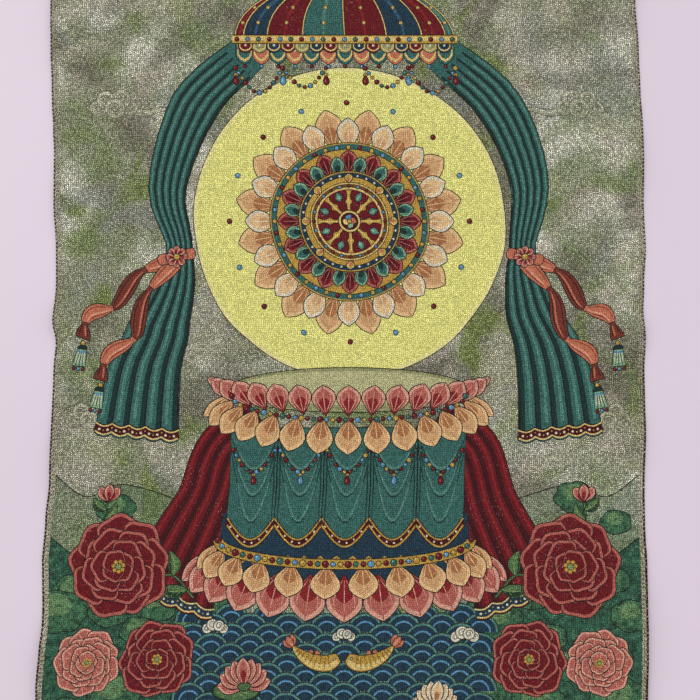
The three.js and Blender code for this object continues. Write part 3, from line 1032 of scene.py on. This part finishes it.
# The sheet of cloth: the picture's face, the bare grid as its back, and a wall that joins the two rims
def makeCloth(materials):
    halfWide, halfLong = panel["width"] / 2 - panel["cut"], panel["length"] / 2 - panel["cut"]
    pictureWide, pictureLong = panel["width"] / 2 - panel["margin"], panel["length"] / 2 - panel["margin"]
    nearEdge = np.array([0.0, 0.9, 1.9, 3.4, panel["margin"] - panel["cut"]])
    nearCreases = [middle + reach * np.linspace(-1, 1, 9) for middle, rise, reach in creases]
    u, v = np.meshgrid(
        gridLines(halfWide, panel["gridStep"], np.concatenate([halfWide - nearEdge, nearEdge - halfWide])),
        gridLines(halfLong, panel["gridStep"],
                  np.concatenate([halfLong - nearEdge, nearEdge - halfLong, *nearCreases])))

    # the picture's outlines, kept within a line just outside it
    names = list(threads)
    shapeThreads = np.array([names.index(thread) for thread, outline in outlines])
    beyond = 2
    shapes = [divided(np.clip(outline.real, -pictureWide - beyond, pictureWide + beyond)
                      + 1j * np.clip(outline.imag, -pictureLong - beyond, pictureLong + beyond),
                      panel["longestEdge"]) for thread, outline in outlines]
    place, faces, thread, upperRim, lowerRim = flatFace(u, v, len(nearEdge) - 1, shapes, shapeThreads,
                                                        pictureWide, pictureLong)

    def laid(flat, thickness, rise):
        edge = np.minimum(halfWide - np.abs(flat.real), halfLong - np.abs(flat.imag))
        return onCloth(flat.real, flat.imag, thickness + rise * hump(edge / panel["edgeWidth"]))
    back = (u + 1j * v).ravel()
    rows, columns = u.shape
    cell = (np.arange(rows - 1)[:, None] * columns + np.arange(columns - 1)).ravel()
    backFaces = len(place) + np.stack([cell, cell + columns, cell + columns + 1, cell + 1], 1)
    lowerRim = len(place) + lowerRim
    wall = np.stack([lowerRim, np.roll(lowerRim, -1), np.roll(upperRim, -1), upperRim], 1)
    points = np.concatenate([laid(place, panel["thickness"], panel["edgeTop"]),
                             laid(back, 0, panel["edgeBack"])])
    cloth = newPiece("brocade_panel", points, [faces, backFaces, wall], materials)
    slots = np.repeat([0, 1, 1], [len(faces), len(backFaces), len(wall)])
    cloth.data.polygons.foreach_set("material_index", slots)
    print("cloth: triangles", len(faces) + 2 * len(backFaces) + 2 * len(wall))

    # each face's thread as a colour and a finish, and the flat place of each point
    colours = np.array([[*linear(np.array(colour) / 255), 1] for colour, grain in threads.values()])
    shares = np.array([[*finishes.get(name, (0, 0, 0)), grain] for name, (colour, grain) in threads.items()])
    rest = np.zeros(4 * (len(backFaces) + len(wall)), int)
    cornerThread = np.concatenate([np.repeat(thread, 3), rest])
    addAttribute(cloth.data, "threadColour", "FLOAT_COLOR", "CORNER", colours[cornerThread])
    addAttribute(cloth.data, "threadFinish", "FLOAT_COLOR", "CORNER", shares[cornerThread])
    flat = np.concatenate([place, back])
    flatPlace = np.stack([flat.real, flat.imag, 0 * flat.real], 1) * mm
    addAttribute(cloth.data, "clothPlace", "FLOAT_VECTOR", "POINT", flatPlace)
    unwrap(cloth.data, flat, faces, backFaces, wall)
    return cloth


# The stitches round the cut sides, in millimetres: dark wraps over the cut, and two columns of light
# slanted stitches, on the margin and at the picture's border
stitches = {
    "seed": 5,
    "pitch": 3.9,
    "cornerClear": 2.2,
    "uneven": 0.24,
    "wrapWide": 2.0,       # along the side
    "wrapWideFoot": 3.5,   # on the lower half, where they lie closer
    "wrapFarFoot": 0.28,   # how much further in they reach there, as a share
    "leftShare": 0.65,     # how much of both shows on the left side
    "footFrom": -60,       # where along a long side they change, and how softly
    "footSoft": 90,
    "wrapThick": 0.42,
    # a wrap's path from face to back: inwards from the outer line, up from the cloth's face or back
    "wrapOver": [(1.6, -0.1), (1.2, 0.18), (0.6, 0.20)],
    "wrapOut": 0.22,
    "wrapUnder": [(0.6, -0.21), (1.2, -0.22), (1.8, -0.05)],
    "wrapLean": (-0.35, 0.55),
    "wrapTaper": [0.45, 0.9, 1.0, 1.0, 1.0, 0.9, 0.5],
    # columns: middle, inwards from the outer line; how far each stitch reaches inwards and along; width
    "columns": [(3.4, 2.0, 2.0, 1.15), (5.8, 1.2, 2.3, 1.05)],
    "lightThick": 0.42,
    "lightAtHead": 0.52,   # the light stitches' width near the head, as a share
}


# Closed tubes of an oval section along paths of equal step counts: a ring of the section at each point,
# wide along the given direction and thick square to it and to the path, with flat ends
def tubes(paths, wideWay, wide, thick, sides):
    count, steps = paths.shape[:2]
    along = np.gradient(paths, axis=1)
    along /= np.linalg.norm(along, axis=2, keepdims=True)
    up = np.cross(along, wideWay)
    up /= np.linalg.norm(up, axis=2, keepdims=True)
    out = np.cross(up, along)
    angle = tau * np.arange(sides) / sides
    ring = (out[:, :, None] * (wide[..., None] / 2 * np.cos(angle))[..., None]
            + up[:, :, None] * (thick[..., None] / 2 * np.sin(angle))[..., None])
    points = (paths[:, :, None] + ring).reshape(-1, 3)
    index = np.arange(len(points)).reshape(count, steps, sides)
    turned = np.roll(index, -1, 2)
    skins = np.stack([index[:, :-1], turned[:, :-1], turned[:, 1:], index[:, 1:]], -1).reshape(-1, 4)
    ends = np.concatenate([index[:, 0, ::-1], index[:, -1]])
    far = np.cumsum(np.linalg.norm(np.diff(paths, axis=1, prepend=paths[:, :1]), axis=2), 1)
    place = np.stack(np.broadcast_arrays(far[..., None], angle / tau, np.arange(count)[:, None, None]), -1)
    return points, skins, ends, place.reshape(-1, 3)


# Places in a side's own terms (along it, inwards from its outer line, up from its underside) as points
def onSide(side, along, inwards, height):
    wide, long = panel["width"] / 2, panel["length"] / 2
    u, v = {"left": (inwards - wide, along), "right": (wide - inwards, along),
            "foot": (along, inwards - long), "head": (along, long - inwards)}[side]
    return onCloth(u, v, height)


# Dark wraps from the face, over the cut and under the back. lower is 1 where they lie as at the foot
def darkWraps(side, middles, lower, random):
    count = len(middles)
    faceUp, backUp = panel["thickness"] + panel["edgeTop"], panel["edgeBack"]
    profile = np.array([(inwards, faceUp + up) for inwards, up in stitches["wrapOver"]]
                       + [(stitches["wrapOut"], 0.5 * (faceUp + backUp))]
                       + [(inwards, backUp + up) for inwards, up in stitches["wrapUnder"]])
    taper = np.array(stitches["wrapTaper"])
    shift = stitches["uneven"] * random.normal(size=(count, 1))
    further = 0.12 * random.normal(size=(count, 1)) + stitches["wrapFarFoot"] * lower
    inwards = profile[:, 0] * (1 + further * (profile[:, 0] > stitches["wrapOut"]))
    wide = stitches["wrapWide"] + (stitches["wrapWideFoot"] - stitches["wrapWide"]) * lower
    wide = wide * (1 + 0.10 * random.normal(size=(count, 1)))
    along = middles + shift + np.linspace(*stitches["wrapLean"], len(profile))
    height = profile[:, 1] + 0 * shift
    wraps = onSide(side, along, inwards, height)
    wideWay = onSide(side, along + 0.5, inwards, height) - wraps
    thick = stitches["wrapThick"] * (0.6 + 0.4 * taper) + 0 * wide
    return tubes(wraps, wideWay, wide * taper, thick, 6)


# A column of light stitches. Each is humped by a fourth power of t, which runs from end to end of it
def lightColumn(side, middles, low, column, random):
    at, reach, length, wide = column
    t = np.linspace(-0.5, 0.5, 6)
    shift = stitches["uneven"] * random.normal(size=(4, len(middles), 1))
    paths = onSide(side, middles + 1.5 * shift[0] + (length + shift[1]) * t, at + 1.2 * shift[2] + reach * t,
                   panel["thickness"] + 0.20 - 0.5 * (2 * t) ** 4 + 0 * shift[0])
    wideWay = np.cross(np.gradient(paths, axis=1), (0, 0, 1))
    wide = wide * (stitches["lightAtHead"] + (1 - stitches["lightAtHead"]) * low)
    wide = wide * (1 + 0.6 * shift[3]) * (1 - 0.4 * (2 * t) ** 4)
    return tubes(paths, wideWay, wide, stitches["lightThick"] + 0 * wide, 5)


# All the stitches of one side as one piece, the dark ones in the first material
def makeStitches(side, random, materials):
    length = panel["length"] if side in ("left", "right") else panel["width"]
    count = int((length - 2 * stitches["cornerClear"]) / stitches["pitch"])
    middles = (np.arange(count)[:, None] - (count - 1) / 2) * stitches["pitch"]
    fromMiddle = {"foot": -panel["length"] / 2, "head": panel["length"] / 2}.get(side, middles)
    low = 0.5 - 0.5 * np.tanh((fromMiddle - stitches["footFrom"]) / stitches["footSoft"]) + 0 * middles
    made = [darkWraps(side, middles, low * (stitches["leftShare"] if side == "left" else 1), random)]
    made += [lightColumn(side, middles, low, column, random) for column in stitches["columns"]]

    points, faceSets, slots, places, first = [], [], [], [], 0
    for slot, (corners, skins, ends, place) in zip((0, 1, 1), made):
        points.append(corners)
        places.append(place)
        faceSets += [skins + first, ends + first]
        slots.append(np.full(len(skins) + len(ends), slot))
        first += len(corners)
    piece = newPiece("stitches_" + side, np.concatenate(points), faceSets, materials)
    piece.data.polygons.foreach_set("material_index", np.concatenate(slots))
    addAttribute(piece.data, "threadPlace", "FLOAT_VECTOR", "POINT", np.concatenate(places))
    return piece


# A colour given in sRGB, 0 to 255, as the shader takes it
def shown(red, green, blue):
    return (*linear(np.array([red, green, blue]) / 255).tolist(), 1.0)


# A new material with two functions: add puts in a shader node and returns its outputs, and shade fills
# the shader's own sockets. Sockets are given by name or number, as values or as other nodes' outputs
def newMaterial(name):
    material = bpy.data.materials.new(name)
    material.use_nodes = True
    tree = material.node_tree

    def fill(node, sockets):
        for socket, value in sockets.items():
            if isinstance(value, bpy.types.NodeSocket):
                tree.links.new(value, node.inputs[socket])
            else:
                node.inputs[socket].default_value = value

    def add(kind, sockets, **settings):
        node = tree.nodes.new("ShaderNode" + kind)
        for setting, value in settings.items():
            setattr(node, setting, value)
        fill(node, sockets)
        return node.outputs

    def shade(sockets):
        fill(tree.nodes["Principled BSDF"], sockets)
    return material, add, shade


# Short forms for the nodes that are added most: a calculation, a range moved to another, two colours mixed
def shortForms(add):
    def math(kind, first, second=0.0, third=0.0):
        return add("Math", {0: first, 1: second, 2: third}, operation=kind)[0]

    def ranged(value, low, high, to, top, way="LINEAR"):
        return add("MapRange", {0: value, 1: low, 2: high, 3: to, 4: top}, interpolation_type=way)[0]

    def mixed(share, first, second):
        return add("Mix", {0: share, 6: first, 7: second}, data_type="RGBA")[2]
    return math, ranged, mixed


weave = {
    "cellAcross": 0.98,    # one thread crossing, in millimetres
    "cellAlong": 0.96,
    "contrast": 3.0,       # how many times lighter a strong light crossing is than its ground
    "cellSwing": 1.4,      # how far crossings differ at random, and in small blobs
    "blobSwing": 0.3,
    "turnSwing": 0.85,     # and by turns of light and dark along a row, and along a column
    "startEvery": 9.0,     # rows and columns start anew after so many crossings,
    "startShift": 1.2,     # up to so many crossings away,
    "startLater": 0.37,    # each line this share of the way after the line beside it
    "waver": 0.5,          # how far the rows and columns waver, in crossings
    "waverScale": 160.0,
    # painted shade: each crossing's colour darkens towards its ends, where its rounded thread turns away
    "endShade": 0.8,       # how far each crossing darkens towards its ends
    # painted light and shade: lighter and darker bands along each crossing's twist
    "twistShade": 0.10,    # how far its twisted fibres show, how many turns they make across and along it
    "turnsAcross": 4.0,
    "turnsAlong": 1.3,
    "relief": 0.00030,
    # clouds of the mist: colour, size in mm, where in the noise, from and to which noise value, most share
    "mist": [((166, 167, 150), 150, (3, 1, 0), 0.46, 0.66, 0.90),
             ((92, 90, 75), 130, (8, 8, 0), 0.46, 0.66, 0.85),
             ((92, 106, 48), 84, (0, 0, 0), 0.50, 0.70, 0.80),
             ((100, 114, 74), 100, (5, 7, 0), 0.50, 0.68, 0.65),
             ((112, 116, 112), 110, (2, 6, 0), 0.52, 0.68, 0.45),
             ((160, 155, 138), 110, (9, 2, 0), 0.50, 0.68, 0.45)],
    # dark and light tufts of the foliage: colour, from and to which noise value, first and last share
    "tufts": [((30, 54, 40), 0.38, 0.52, 0.85, 0.0), ((80, 122, 86), 0.54, 0.68, 0.0, 0.70)],
    "tuftSize": 6.5,
    "fleck": (176, 132, 126),
    "fleckSize": 1.2,
    "roughness": (0.84, 0.52),   # of the darkest and the lightest crossings
}


# The picture's weave. Its colour is each face's thread, then clouded where the thread is mist, mottled
# where it is foliage, flecked where it is dark red, lighter or darker at random at each thread crossing,
# and darker towards each crossing's ends and in bands along its twist, as painted shade
def weaveMaterial():
    material, add, shade = newMaterial("brocade_weave")
    math, ranged, mixed = shortForms(add)
    place = add("Attribute", {}, attribute_name="clothPlace")["Vector"]
    finish = add("Attribute", {}, attribute_name="threadFinish")
    mist, leafy, flecked = add("SeparateColor", {0: finish["Color"]})
    grain = finish["Alpha"]

    def eased(value, low, high, to, top):
        return ranged(value, low, high, to, top, "SMOOTHSTEP")

    # noise over the flat cloth, with features of a size in millimetres
    def cloudy(size, offset, detail=3.0, rough=0.55, stretch=(1, 1, 1), swirl=0.0):
        shifted = add("Mapping", {"Vector": place, "Location": offset, "Scale": stretch})[0]
        return add("TexNoise", {"Vector": shifted, "Scale": 1000 / size, "Detail": detail, "Roughness": rough,
                                "Distortion": swirl})[0]

    colour = add("Attribute", {}, attribute_name="threadColour")["Color"]
    for tone, size, offset, low, high, most in weave["mist"]:
        clouds = eased(cloudy(size, offset, 1.2, 0.5, (1, 1, 1), 1.5), low, high, 0.0, most)
        colour = mixed(math("MULTIPLY", clouds, mist), colour, shown(*tone))
    tufts = cloudy(weave["tuftSize"], (2, 4, 0), 4.0, 0.65)
    for tone, low, high, to, top in weave["tufts"]:
        colour = mixed(math("MULTIPLY", eased(tufts, low, high, to, top), leafy), colour, shown(*tone))

    # sparse pale flecks of the weft that shows through, gathered in places
    flecks = eased(cloudy(weave["fleckSize"], (4, 4, 0), 0.0, 0.5, (1.0, 0.45, 1)), 0.68, 0.76, 0.0, 0.8)
    gathered = eased(cloudy(40, (7, 3, 0)), 0.40, 0.66, 0.0, 0.9)
    share = math("MULTIPLY", math("MULTIPLY", flecks, gathered), flecked)
    colour = mixed(share, colour, shown(*weave["fleck"]))

    # thread crossings are the cells of a grid whose lines waver
    waver = add("TexNoise", {"Vector": place, "Scale": weave["waverScale"], "Detail": 1.0})["Color"]
    wavering = add("VectorMath", {0: waver, 3: weave["waver"]}, operation="SCALE")[0]
    cells = (1000 / weave["cellAcross"], 1000 / weave["cellAlong"], 0)
    grid = add("VectorMath", {0: place, 1: cells, 2: wavering}, operation="MULTIPLY_ADD")[0]
    grid = add("SeparateXYZ", {0: grid})
    across, along = grid[0], grid[1]
    row, column = math("FLOOR", along), math("FLOOR", across)

    def randomAt(first, second):
        cell = add("CombineXYZ", {0: first, 1: second})[0]
        return add("TexWhiteNoise", {"Vector": cell}, noise_dimensions="2D")["Value"]

    # how far along its line a place is, when the line starts anew at random every few crossings
    def started(far, beside):
        stretch = math("MULTIPLY_ADD", beside, weave["startLater"], math("DIVIDE", far, weave["startEvery"]))
        return math("MULTIPLY_ADD", randomAt(math("FLOOR", stretch), beside), weave["startShift"], far)

    # speckle: the sum of a random value, small blobs and two turns of 0 and 1, each times its swing
    acrossAt, alongAt = started(across, row), started(along, column)
    turns = [math("FLOORED_MODULO", math("FLOOR", at), 2.0) for at in (acrossAt, alongAt)]
    parts = [(randomAt(math("FLOOR", acrossAt), row), weave["cellSwing"]),
             (cloudy(1.0, (1, 6, 0), 0.0, 0.5), weave["blobSwing"]),
             (turns[0], weave["turnSwing"]), (turns[1], weave["turnSwing"])]
    speckle = -0.5 * sum(swing for part, swing in parts)
    for part, swing in reversed(parts):
        speckle = math("MULTIPLY_ADD", part, swing, speckle)

    # a pillow shape: the product of half a sine wave across the crossing and one along it, to the power 0.6
    acrossCell, alongCell = math("FRACT", acrossAt), math("FRACT", along)
    humps = [math("SINE", math("MULTIPLY", far, np.pi)) for far in (acrossCell, alongCell)]
    pillow = math("POWER", math("MULTIPLY", *humps), 0.6)
    twist = math("MULTIPLY", alongCell, weave["turnsAlong"])
    twist = math("MULTIPLY_ADD", acrossCell, weave["turnsAcross"], twist)
    twist = math("SINE", math("MULTIPLY", twist, tau))
    # painted shade: the pillow and the twist darken each crossing's colour towards its ends and in bands
    # along it; the same values raise the bump below
    crossingShadeAndRelief = math("MULTIPLY_ADD", pillow, weave["endShade"], -0.6 * weave["endShade"])
    crossingShadeAndRelief = math("MULTIPLY_ADD", twist, weave["twistShade"], crossingShadeAndRelief)
    lighter = math("POWER", weave["contrast"], math("MULTIPLY_ADD", speckle, grain, crossingShadeAndRelief))
    colour = add("VectorMath", {0: colour, 3: lighter}, operation="SCALE")[0]

    # each crossing is higher and smoother where its thread is light
    height = math("MULTIPLY_ADD", speckle, 0.6, math("MULTIPLY", crossingShadeAndRelief, 1.2))
    bump = add("Bump", {"Strength": 0.5, "Distance": weave["relief"], "Height": height})[0]
    shade({"Base Color": colour, "Normal": bump, "Specular IOR Level": 0.18,
           "Roughness": eased(speckle, -0.5, 0.6, *weave["roughness"])})
    return material


# The back of the cloth: muted threads in patches, with long loose streaks across
clothBack = {
    "patches": [(0.36, (96, 84, 74)), (0.5, (104, 108, 92)), (0.66, (138, 132, 104))],
    "patchScale": 12.0,
    "streak": (178, 168, 140),
    "streakScale": (30, 900, 1),
    "relief": 0.0004,
}


def backMaterial():
    material, add, shade = newMaterial("brocade_back")
    math, ranged, mixed = shortForms(add)
    place = add("Attribute", {}, attribute_name="clothPlace")["Vector"]
    stretched = add("Mapping", {"Vector": place, "Scale": clothBack["streakScale"]})[0]
    streaks = add("TexNoise", {"Vector": stretched, "Scale": 1.0, "Detail": 3.0})[0]
    patches = add("TexNoise", {"Vector": place, "Scale": clothBack["patchScale"], "Detail": 4.0})[0]
    ramp = add("ValToRGB", {0: patches})
    steps = ramp[0].node.color_ramp.elements
    steps.new(0.5)
    for step, (position, tone) in zip(steps, clothBack["patches"]):
        step.position = position
        step.color = shown(*tone)
    shade({"Base Color": mixed(ranged(streaks, 0.35, 0.7, 0.0, 0.55), ramp[0], shown(*clothBack["streak"])),
           "Normal": add("Bump", {"Strength": 0.5, "Distance": clothBack["relief"], "Height": streaks})[0],
           "Roughness": ranged(streaks, 0.3, 0.7, 0.9, 0.7), "Sheen Weight": 0.10})
    return material


# A sewing thread of two twisted plies: a wave that winds round its length paints its colour darker and
# lighter, as painted shade between the plies, and shapes its bump; a random part for each stitch and fuzz
# vary its tone as well
def threadMaterial(name, dark, light, twist, rough):
    material, add, shade = newMaterial(name)
    math, ranged, mixed = shortForms(add)
    far, turn, stitch = add("SeparateXYZ", {0: add("Attribute", {}, attribute_name="threadPlace")["Vector"]})
    # painted shade: the colour follows this wave, darker where the plies meet
    wave = math("SINE", math("MULTIPLY", math("MULTIPLY_ADD", far, 1 / twist, turn), tau))
    strand = add("TexWhiteNoise", {"W": stitch}, noise_dimensions="1D")["Value"]
    fuzz = add("TexNoise", {"Vector": add("TexCoord", {})["Object"], "Scale": 2600.0, "Detail": 3.0})[0]
    share = math("MULTIPLY_ADD", wave, 0.28, math("MULTIPLY_ADD", strand, 0.35, fuzz))
    shade({"Base Color": mixed(ranged(share, 0.25, 1.05, 0.0, 1.0), shown(*dark), shown(*light)),
           "Normal": add("Bump", {"Strength": 0.6, "Distance": 0.0002, "Height": share})[0],
           "Roughness": ranged(share, 0.2, 1.0, rough + 0.12, rough - 0.08), "Specular IOR Level": 0.2})
    return material


drawPicture()
print("picture drawn:", len(outlines), "outlines")
cloth = makeCloth([weaveMaterial(), backMaterial()])
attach(cloth, "root")
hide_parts("woven_cloth")

random = np.random.default_rng(stitches["seed"])
threadMaterials = [threadMaterial("maroon_thread", (14, 4, 7), (54, 22, 27), 0.9, 0.75),
                   threadMaterial("tan_thread", (138, 127, 110), (242, 230, 206), 0.8, 0.6)]
for side in ("left", "right", "head", "foot"):
    edging = makeStitches(side, random, threadMaterials)
    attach(edging, "root")
    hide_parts("edging_" + side)


# The floor, the sky and one large soft lamp to the upper left
studio = {
    "floorSize": 8.0,
    "floorUnder": 0.2,     # how far it lies under the cloth, in millimetres
    "floorColour": (225, 213, 224),
    "floorRough": 0.42,
    "sky": (230, 226, 229),
    "skyStrength": 1.03,
    "lampPlace": (-3.2, 2.6, 7.0),
    "lampAim": (0.05, -0.05, 0.0),
    "lampSize": 3.0,
    "lampPower": 104.0,
}
floorMaterial, addToFloor, shadeFloor = newMaterial("pale_floor")
shadeFloor({"Base Color": shown(*studio["floorColour"]), "Roughness": studio["floorRough"]})
half = studio["floorSize"] / 2 / mm
under = -studio["floorUnder"]
corners = np.array([(-half, -half, under), (half, -half, under), (half, half, under), (-half, half, under)])
floor = newPiece("floor", corners, [np.array([[0, 1, 2, 3]])], [floorMaterial])

lampData = bpy.data.lights.new("window_light", "AREA")
lampData.shape = "DISK"
lampData.size = studio["lampSize"]
lampData.energy = studio["lampPower"]
lamp = bpy.data.objects.new("window_light", lampData)
lamp.location = studio["lampPlace"]
lamp.rotation_euler = (lamp.location - Vector(studio["lampAim"])).to_track_quat("Z", "Y").to_euler()
bpy.context.scene.collection.objects.link(lamp)
world = bpy.data.worlds.new("studio")
bpy.context.scene.world = world
world.use_nodes = True
world.node_tree.nodes["Background"].inputs[0].default_value = shown(*studio["sky"])
world.node_tree.nodes["Background"].inputs[1].default_value = studio["skyStrength"]
bpy.context.scene.view_settings.view_transform = "Standard"
print("camera, floor and light placed")
